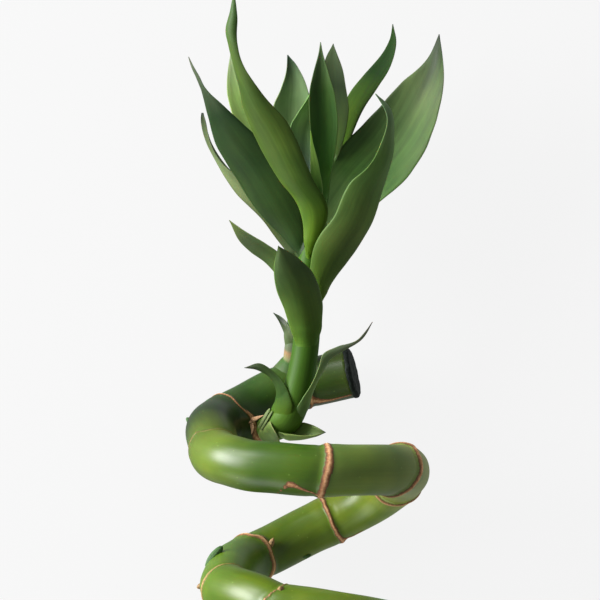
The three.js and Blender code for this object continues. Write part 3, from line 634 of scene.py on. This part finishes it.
def cane_material():
    """Living cane, a smooth waxy green skin with faint lengthwise fibres, a few pale pores, and dry tan
    rings of cork where leaves grew. The lower cut shows pale pith with darker strands."""
    material = start_material("living_cane_skin")
    from_cork, on_cut, dryness = three_values(material, "marks")
    unbent = add(material, "ShaderNodeAttribute", {"attribute_name": "unbent"}).outputs["Vector"]
    # fibres about 0.8 mm wide and 30 mm long
    fibre = drawn_out(material, unbent, (1.2, 1.2, 0.03), {"Detail": 4.0, "Roughness": 0.6})
    # clouds of lighter and darker green about 15 mm across
    cloud = add(material, "ShaderNodeTexNoise", {"Scale": 0.07, "Detail": 2.0}, {"Vector": unbent})
    # pores 0.3 mm across and some 4 mm apart
    pore = add(material, "ShaderNodeTexVoronoi", {"Scale": 0.28}, {"Vector": unbent})
    along = add(material, "ShaderNodeMapRange", {1: 0.0, 2: CANE_LENGTH, 3: 0.0, 4: 1.0},
                {0: three_values(material, "unbent")[2]})
    # the skin's tone along the cane, with painted shade where it lies low under the turn above and a
    # painted highlight on the left bend
    green = add(material, "ShaderNodeValToRGB", links={0: along},
                stops=[(distance / CANE_LENGTH, colour) for distance, colour in CANE_COLOURS])
    clouded = tinted(material, green, cloud, Value=(0.82, 1.18), Hue=(0.51, 0.485))
    fibred = tinted(material, clouded, fibre, Value=(0.93, 1.07))
    pore_share = add(material, "ShaderNodeMapRange", {1: 0.04, 2: 0.1, 3: 0.16, 4: 0.0}, {0: pore})
    pored = add(material, "ShaderNodeMix", {"data_type": "RGBA", "B": "#9fbf62"},
                {"A": fibred, "Factor": pore_share})
    # the cork's edge is frayed by noise about 0.7 mm across
    fray = add(material, "ShaderNodeTexNoise", {"Scale": 1.4, "Detail": 3.0}, {"Vector": unbent})
    frayed = add(material, "ShaderNodeMath", {"operation": "MULTIPLY_ADD", 1: 0.9},
                 {0: fray, 2: from_cork})
    worn = add(material, "ShaderNodeMath", {"operation": "DIVIDE", 1: 1.6}, {0: frayed})
    # pale in the middle of a scar and dark at its edges: the cork's own tones, with a painted highlight on
    # the raised middle and painted shade on the flanks
    cork = add(material, "ShaderNodeValToRGB", links={0: worn},
               stops=list(zip((0.2, 0.5, 0.75, 0.95), CORK_COLOURS)))
    cork_share = add(material, "ShaderNodeMapRange",
                     {"interpolation_type": "SMOOTHSTEP", 1: 1.3, 2: 1.6, 3: 1.0, 4: 0.0}, {0: frayed})
    dry_share = add(material, "ShaderNodeMath", {"operation": "MULTIPLY"}, {0: cork_share, 1: dryness})
    corked = add(material, "ShaderNodeMix", {"data_type": "RGBA"},
                 {"A": pored, "B": cork, "Factor": dry_share})
    # strands in the cut face are 0.5 mm dots about 1 mm apart
    strand = add(material, "ShaderNodeTexVoronoi", {"Scale": 1.0}, {"Vector": unbent})
    pith = add(material, "ShaderNodeValToRGB", links={0: strand},
               stops=[(0.1, "#8a7a45"), (0.35, "#d5cf9a"), (1.0, "#dcd8ac")])
    cut = add(material, "ShaderNodeMix", {"data_type": "RGBA"}, {"A": corked, "B": pith, "Factor": on_cut})
    sheen = add(material, "ShaderNodeMapRange", {1: 0.0, 2: 1.0, 3: 0.37, 4: 0.8}, {0: dry_share})
    height = add(material, "ShaderNodeMath", {"operation": "MULTIPLY_ADD", 1: 3.0},
                 {0: cork_share, 2: fibre})
    relief = add(material, "ShaderNodeBump", {"Strength": 0.25, "Distance": 0.0001}, {"Height": height})
    return end_material(
        material,
        {"IOR": 1.42, "Specular IOR Level": 0.5, "Subsurface Weight": 0.08, "Subsurface Scale": 0.002},
        {"Base Color": cut, "Roughness": sheen, "Normal": relief},
    )


def sheath_material(name, colours):
    """A shoot wrapped in clasping leaf bases: smooth, firm and green, with fine lengthwise ribs."""
    material = start_material(name)
    unbent = add(material, "ShaderNodeAttribute", {"attribute_name": "unbent"}).outputs["Vector"]
    # ribs about 0.7 mm wide and 25 mm long
    rib = drawn_out(material, unbent, (1.4, 1.4, 0.04), {"Detail": 3.0, "Roughness": 0.6})
    along = three_values(material, "marks")[0]
    green = add(material, "ShaderNodeValToRGB", links={0: along}, stops=colours)
    ribbed = tinted(material, green, rib, Value=(0.9, 1.1))
    relief = add(material, "ShaderNodeBump", {"Strength": 0.3, "Distance": 0.0001}, {"Height": rib})
    return end_material(
        material,
        {"Roughness": 0.52, "IOR": 1.42, "Specular IOR Level": 0.16,
         "Subsurface Weight": 0.05, "Subsurface Scale": 0.001},
        {"Base Color": ribbed, "Normal": relief},
    )


def wax_material():
    """Sealing wax that the cut end was dipped in: dark grey-green and dull, with lumps and wrinkles."""
    material = start_material("dipped_sealing_wax")
    place = add(material, "ShaderNodeTexCoord")
    # lumps about 1.5 mm across, with wrinkles of 0.4 mm on them
    lump = add(material, "ShaderNodeTexNoise", {"Scale": 700.0, "Detail": 5.0, "Roughness": 0.65},
               {"Vector": place.outputs["Object"]})
    colour = add(material, "ShaderNodeValToRGB", links={0: lump},
                 stops=[(0.3, "#070b08"), (0.5, "#0f1612"), (0.75, "#222d26")])
    relief = add(material, "ShaderNodeBump", {"Strength": 0.8, "Distance": 0.0004}, {"Height": lump})
    return end_material(
        material,
        {"Roughness": 0.6, "IOR": 1.44, "Specular IOR Level": 0.15},
        {"Base Color": colour, "Normal": relief},
    )


def husk_material(name, dark, light):
    """A dry or green bud husk, or a papery shred of an old leaf base: matt, with a fine uneven grain."""
    material = start_material(name)
    place = add(material, "ShaderNodeTexCoord")
    # grain about 0.4 mm across
    grain = add(material, "ShaderNodeTexNoise", {"Scale": 2200.0, "Detail": 4.0},
                {"Vector": place.outputs["Object"]})
    colour = add(material, "ShaderNodeValToRGB", links={0: grain}, stops=[(0.35, dark), (0.65, light)])
    relief = add(material, "ShaderNodeBump", {"Strength": 0.5, "Distance": 0.0002}, {"Height": grain})
    return end_material(material, {"Roughness": 0.7}, {"Base Color": colour, "Normal": relief})


# ---------------------------------------------------------------- cane
def away_from_coil_axis(point):
    """The direction that angle 0 round the cane faces: out of the spiral."""
    return Vector((point.x, 0, point.z - COIL_AXIS_HEIGHT))


def ring_table(knots):
    """How far along the cane a scar is, for each whole degree round it."""
    knots = sorted((angle % 360, distance) for angle, distance in knots)
    knots = [(knots[-1][0] - 360, knots[-1][1]), *knots, (knots[0][0] + 360, knots[0][1])]
    table = []
    for degree in range(360):
        index = max(i for i, (angle, _) in enumerate(knots[:-1]) if angle <= degree)
        (a0, d0), (a1, d1) = knots[index], knots[index + 1]
        share = (degree - a0) / max(a1 - a0, 1e-6)
        table.append(d0 + (d1 - d0) * eased(share))
    return table


def cane_piece():
    """The cane, with its scars, torn lines and swelling raised from its skin."""
    line = Line(CANE_PATH)
    rings = [(ring_table(knots), half, height, dry) for knots, half, height, dry in SCARS]
    torn = [
        [Vector((s, math.radians(angle % 360) * CANE_RADIUS, half)) for s, angle, half in points]
        for points in TORN_LINES
    ]

    def nearest_ring(distance, angle):
        """The signed distance to the nearest scar, with its half width, its height and its dryness."""
        degree = round(math.degrees(angle)) % 360
        table, half, height, dry = min(rings, key=lambda ring: abs(distance - ring[0][degree]))
        ragged = 0.2 * wobble(7 * math.cos(angle), 7 * math.sin(angle), table[0])
        width = half * (1 + 0.25 * wobble(3 * math.cos(angle), 3 * math.sin(angle), table[0] + 5))
        return distance - table[degree] + ragged, width, height, dry

    def torn_distance(distance, angle):
        """The distance to the nearest torn line, in its half widths there, or 9 where none is near."""
        nearest = 9.0
        for points in torn:
            if abs(distance - points[0].x) > 25:
                continue
            flat = Vector((distance, (angle % (2 * math.pi)) * CANE_RADIUS, 0))
            for a, b in zip(points, points[1:]):
                start, run = Vector((a.x, a.y, 0)), Vector((b.x - a.x, b.y - a.y, 0))
                share = min(max((flat - start).dot(run) / run.length_squared, 0), 1)
                half = a.z + (b.z - a.z) * share
                nearest = min(nearest, (flat - start - run * share).length / half)
        return nearest

    def radius_at(distance, angle):
        offset, half, height, _ = nearest_ring(distance, angle)
        ridge = height * bump(offset, 0.9 * half)
        # the cane is a little thicker on one side of a scar, and pinched on the other
        ridge += 0.25 * bump(offset - 2.6, 3.2) - 0.18 * bump(offset + 1.4 + half, 1.0)
        # it is out of round by up to 0.1 mm
        unround = 0.1 * wobble(distance / 16, 1.6 * math.cos(angle), 1.6 * math.sin(angle))
        cork = 0.18 * bump(torn_distance(distance, angle), 1.0)
        swelling = 0.0
        for at, turn, tall, long, wide in SWELLINGS:
            round_it = (math.degrees(angle) - turn + 180) % 360 - 180
            swelling += tall * bump(distance - at, long) * bump(round_it, wide)
        return CANE_RADIUS + ridge + unround + cork + swelling

    def marks_at(distance, angle, share):
        """How far off the nearest cork is, if this is the lower cut face, and how dry the cork is."""
        offset, half, _, dry = nearest_ring(distance, angle)
        ring_at, torn_at = abs(offset) / half, torn_distance(distance, angle)
        on_cut = float(share < 0.97 and distance > 100)
        return min(ring_at, torn_at), on_cut, dry if ring_at < torn_at else 1.0

    # rows lie 0.4 mm apart at the scars and 1.2 mm apart between them
    distances, distance = [], 0.0
    while distance < line.length:
        distances.append(distance)
        close = any(min(ring[0]) - 2.5 < distance < max(ring[0]) + 2.5 for ring in rings)
        distance += 0.4 if close else 1.2
    distances.append(line.length)
    first, last = distances[0], distances[-1]
    rows = [(first, 0.0), (first, 0.5), (first, 0.96)] + [(d, 1.0) for d in distances]
    rows += [(last, 0.97), (last, 0.94), (last, 0.5), (last, 0.0)]
    bar = tube(line, rows, 80, away_from_coil_axis, radius_at, marks_at)
    # it rests on small flats, level with the floor
    for vert in bar.verts:
        vert.co.z = max(vert.co.z, 0.0)
    finish_piece("spiral_cane", bar, cane_material(), node="cane")


def wax_piece():
    """The cap of wax over the upper cut, with a thin skirt down the cane's side and a drip below."""
    cane = Line(CANE_PATH)
    out = -cane.heading(0.0)
    end = cane.at(0.0)
    # the cap is drawn along a line that starts 4 mm inside the cane
    inside = 4
    line = Line([end - out * inside, end - out * 2, end, end + out * 4])
    # each a distance past the cut and a radius, from the skirt round to the middle of the face
    profile = [(-0.5, 8.3), (-0.45, 8.75), (-0.1, 8.9), (0.4, 8.95), (0.9, 8.8), (1.25, 8.3),
               (1.35, 7.0), (1.3, 4.0), (1.3, 0.0)]
    rows = []
    for (d0, r0), (d1, r1) in zip(profile, profile[1:]):
        rows += [(inside + d0 + (d1 - d0) * i / 6, r0 + (r1 - r0) * i / 6) for i in range(6)]
    rows = [(rows[0][0], 0.0)] + rows + [(inside + profile[-1][0], 0.0)]

    def radius_at(distance, angle):
        """What the profile's radius is multiplied by: lumps up to 0.3 mm and a drip 0.5 mm thick."""
        lump = 0.3 * wobble(distance / 2, 2.6 * math.cos(angle), 2.6 * math.sin(angle))
        drip = 0.5 * bump(((angle - math.radians(120) + math.pi) % (2 * math.pi)) - math.pi, 0.35)
        return 1 + lump / 9 + (drip / 9 if distance > 3 else 0)

    cap = tube(line, rows, 64, away_from_coil_axis, radius_at, lambda *_: (0, 0, 0))
    # the skirt is more ragged than the face
    for vert in cap.verts:
        ragged = 0.45 * wobble(vert.co.x / 2, vert.co.y / 2, vert.co.z / 2)
        vert.co += out * ragged * (0.6 if (vert.co - end).dot(out) > 0 else 1.0)
    finish_piece("wax_cap", cap, wax_material(), node="wax_seal")


def buds_piece(dry, name, material):
    """The buds that are dry, or those that are green: each a pointed husk half sunk in the cane."""
    husks = bmesh.new()
    for at, towards, length, radius, is_dry in BUDS:
        if is_dry != dry:
            continue
        turn = Vector(towards).normalized().to_track_quat("Z", "Y").to_matrix().to_4x4()
        made = bmesh.ops.create_uvsphere(husks, u_segments=28, v_segments=20, radius=1.0)
        # the tip is narrower, and nine low keels run along the husk
        for vert in made["verts"]:
            taper = 1 - 0.35 * max(vert.co.z, 0) ** 2
            keel = 1 + 0.06 * math.sin(9 * math.atan2(vert.co.y, vert.co.x))
            vert.co = Vector((vert.co.x * taper * keel, vert.co.y * taper * keel, vert.co.z))
        bmesh.ops.scale(husks, vec=(radius, radius, length), verts=made["verts"])
        bmesh.ops.transform(husks, matrix=Matrix.Translation(at) @ turn, verts=made["verts"])
    # a sphere's faces come in another order on each run, so they are put in that of their vertices
    husks.verts.index_update()
    husks.faces.sort(key=lambda face: sum(v.index * 4096 ** i for i, v in enumerate(face.verts)))
    finish_piece(name, husks, material)


# ---------------------------------------------------------------- shoots and leaves
STEMS = {name: (shoot, Line(shoot["path"])) for name, shoot in SHOOTS.items()}


def stem_radius(shoot, line, step):
    """The radius of a shoot's stem at a step, or part of a step, of its line."""
    return mix(shoot["radii"], step / (len(line.points) - 1))


def shoot_piece(name, shoot, line):
    """The stem of a shoot, out of round by 1% where leaf bases wrap it."""

    def radius_at(distance, angle):
        radius = stem_radius(shoot, line, sum(line.place(distance)))
        return radius * (1 + 0.01 * math.sin(2 * angle + distance / 9))

    # rows lie 0.8 mm apart
    count = round(line.length / 0.8)
    rows = [(0.0, 0.0), (0.0, 0.9)] + [(line.length * i / count, 1.0) for i in range(count + 1)]
    rows += [(line.length, 0.8), (line.length, 0.0)]
    bar = tube(line, rows, 56, lambda _: Vector((0, 0, 1)), radius_at,
               lambda distance, *_: (distance / line.length, 0.0, 0.0))
    material = sheath_material(f"{name}_leaf_bases", shoot["colours"])
    finish_piece(f"{name}_stem", bar, material, node=name)


def nearest_stem(point):
    """The gap from a point to the skin of the nearest stem, with that stem's centre and radius there."""
    found = []
    for shoot, line in STEMS.values():
        steps = range(0, len(line.points), 2)
        step = min(steps, key=lambda i: (line.points[i] - point).length_squared)
        radius = stem_radius(shoot, line, step)
        found.append(((point - line.points[step]).length - radius, line.points[step], radius))
    return min(found, key=lambda stem: stem[0])


def clasp(sheet, shape, hug, reach):
    """Bends the first stretch of a leaf, hug long, out of the nearest stem, which it clasps, and keeps the
    leaf off the stem as far as it reaches."""
    place = sheet.verts.layers.float_vector["blade"]
    length = Line(shape["left"]).length
    for vert in sheet.verts:
        from_foot = vert[place][1] * length
        if from_foot > reach:
            continue
        gap, centre, radius = nearest_stem(vert.co)
        if gap > 5:
            continue
        # from 0.4 mm inside the stem's skin at the foot to at least 0.45 mm off it
        inside, clear = radius - 0.4, max((vert.co - centre).length, radius + 0.45)
        share = eased(min(from_foot / hug, 1.0))
        out = (vert.co - centre).normalized()
        vert.co = centre + out * (inside * (1 - share) + clear * share)


def leaf_piece(name, shape, seed):
    """A leaf or a scale leaf in place of its node, with its foot wrapped on the stem."""
    if name.endswith("scale"):
        sheet = blade(shape, 60, 16, wave=0.15, seed=seed)
        clasp(sheet, shape, hug=5.0, reach=60.0)
    else:
        sheet = blade(shape, 120, 28, wave=0.5, seed=seed)
        clasp(sheet, shape, hug=8.0, reach=16.0)
    material = leaf_material(f"{name}_cuticle", shape)
    thicken(finish_piece(f"{name}_blade", sheet, material, node=name), LEAF_THICKNESS)


def shreds_piece(name, edges, material):
    """A few torn shreds of leaf base, as one piece."""
    shreds = bmesh.new()
    spare = bpy.data.meshes.new("shred")
    for index, (left, right) in enumerate(edges):
        strip = blade({"left": left, "right": right, "ridge": 0.1}, 20, 4, wave=0.2, seed=index)
        strip.to_mesh(spare)
        strip.free()
        shreds.from_mesh(spare)
    bpy.data.meshes.remove(spare)
    thicken(finish_piece(name, shreds, material), SHRED_THICKNESS)


# ---------------------------------------------------------------- stage
def area_light(name, place, target, size, power):
    """A large soft box that faces a point."""
    light = bpy.data.lights.new(name, "AREA")
    light.shape = "RECTANGLE"
    light.size, light.size_y = size
    light.energy = power
    lamp = bpy.data.objects.new(name, light)
    lamp.location = place
    lamp.rotation_euler = (Vector(target) - Vector(place)).to_track_quat("-Z", "Y").to_euler()
    bpy.context.collection.objects.link(lamp)


def floor_material():
    """Seamless white studio paper, lit from below a little, as a light table is."""
    material = start_material("white_studio_paper")
    place = add(material, "ShaderNodeTexCoord")
    # the paper's tooth is about 1 mm
    tooth = add(material, "ShaderNodeTexNoise", {"Scale": 900.0, "Detail": 2.0},
                {"Vector": place.outputs["Object"]})
    relief = add(material, "ShaderNodeBump", {"Strength": 0.05, "Distance": 0.0001}, {"Height": tooth})
    return end_material(
        material,
        {"Base Color": "#343434", "Roughness": 1.0, "Specular IOR Level": 0.0,
         "Emission Color": "#f3f3f3", "Emission Strength": FLOOR_GLOW},
        {"Normal": relief},
    )


def set_stage():
    """The paper floor, the soft boxes and the camera, which looks straight down on the plant."""
    paper = bmesh.new()
    bmesh.ops.create_grid(paper, x_segments=1, y_segments=1, size=4.0)
    mesh = bpy.data.meshes.new("floor")
    paper.to_mesh(mesh)
    paper.free()
    floor = bpy.data.objects.new("floor", mesh)
    # a hair below the flats that the cane rests on
    floor.location.z = -0.0004
    # the paper lights the stalk but is kept out of its gloss, as a studio's black cards do
    floor.visible_glossy = False
    mesh.materials.append(floor_material())
    bpy.context.collection.objects.link(floor)
    floor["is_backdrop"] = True

    world = bpy.data.worlds.new("studio")
    world.use_nodes = True
    sky = world.node_tree.nodes["Background"]
    sky.inputs["Color"].default_value = linear("#f3f5f6")
    sky.inputs["Strength"].default_value = 0.38
    bpy.context.scene.world = world

    area_light("left_softbox", (-1.08, 0.4, 0.42), (0, 0.03, 0.04), (0.7, 0.7), 42.0)
    area_light("tip_softbox", (-0.76, 0.98, 0.45), (0, 0, 0.04), (0.55, 0.5), 12.0)
    area_light("low_softbox", (-0.65, -0.9, 0.3), (0, 0.05, 0.04), (1.0, 0.5), 6.0)

    # 1.34 m above the paper, over the feet of the shoots, on a long lens
    camera = bpy.data.objects.new("camera", bpy.data.cameras.new("camera"))
    camera.location = (-0.00532, 0.082, 1.342)
    camera.rotation_euler = (0, 0, 0)
    camera.data.sensor_width = 36.0
    camera.data.lens = 225.33
    bpy.context.collection.objects.link(camera)
    bpy.context.scene.camera = camera
    bpy.context.scene.view_settings.view_transform = "Standard"


# ---------------------------------------------------------------- the plant
set_stage()
cane_piece()
wax_piece()
buds_piece(True, "dry_buds", husk_material("dry_bud_husk", "#5f4826", "#937247"))
buds_piece(False, "green_buds", husk_material("green_bud_husk", "#25431a", "#375c22"))
for shoot_name, (shoot_shape, shoot_line) in STEMS.items():
    shoot_piece(shoot_name, shoot_shape, shoot_line)
for number, (leaf_name, leaf_shape) in enumerate(BLADES.items()):
    leaf_piece(leaf_name, leaf_shape, seed=7.3 * number)
shreds_piece("dry_shreds", DRY_SHREDS, husk_material("dry_leaf_base", "#8f6a49", "#c59c73"))
shreds_piece("fresh_strips", FRESH_STRIPS, husk_material("fresh_leaf_base", "#46572a", "#5c6c34"))

boxes = {"cad": cad_box, "visual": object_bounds()}
{key: [list(corner) for corner in box] for key, box in boxes.items()}
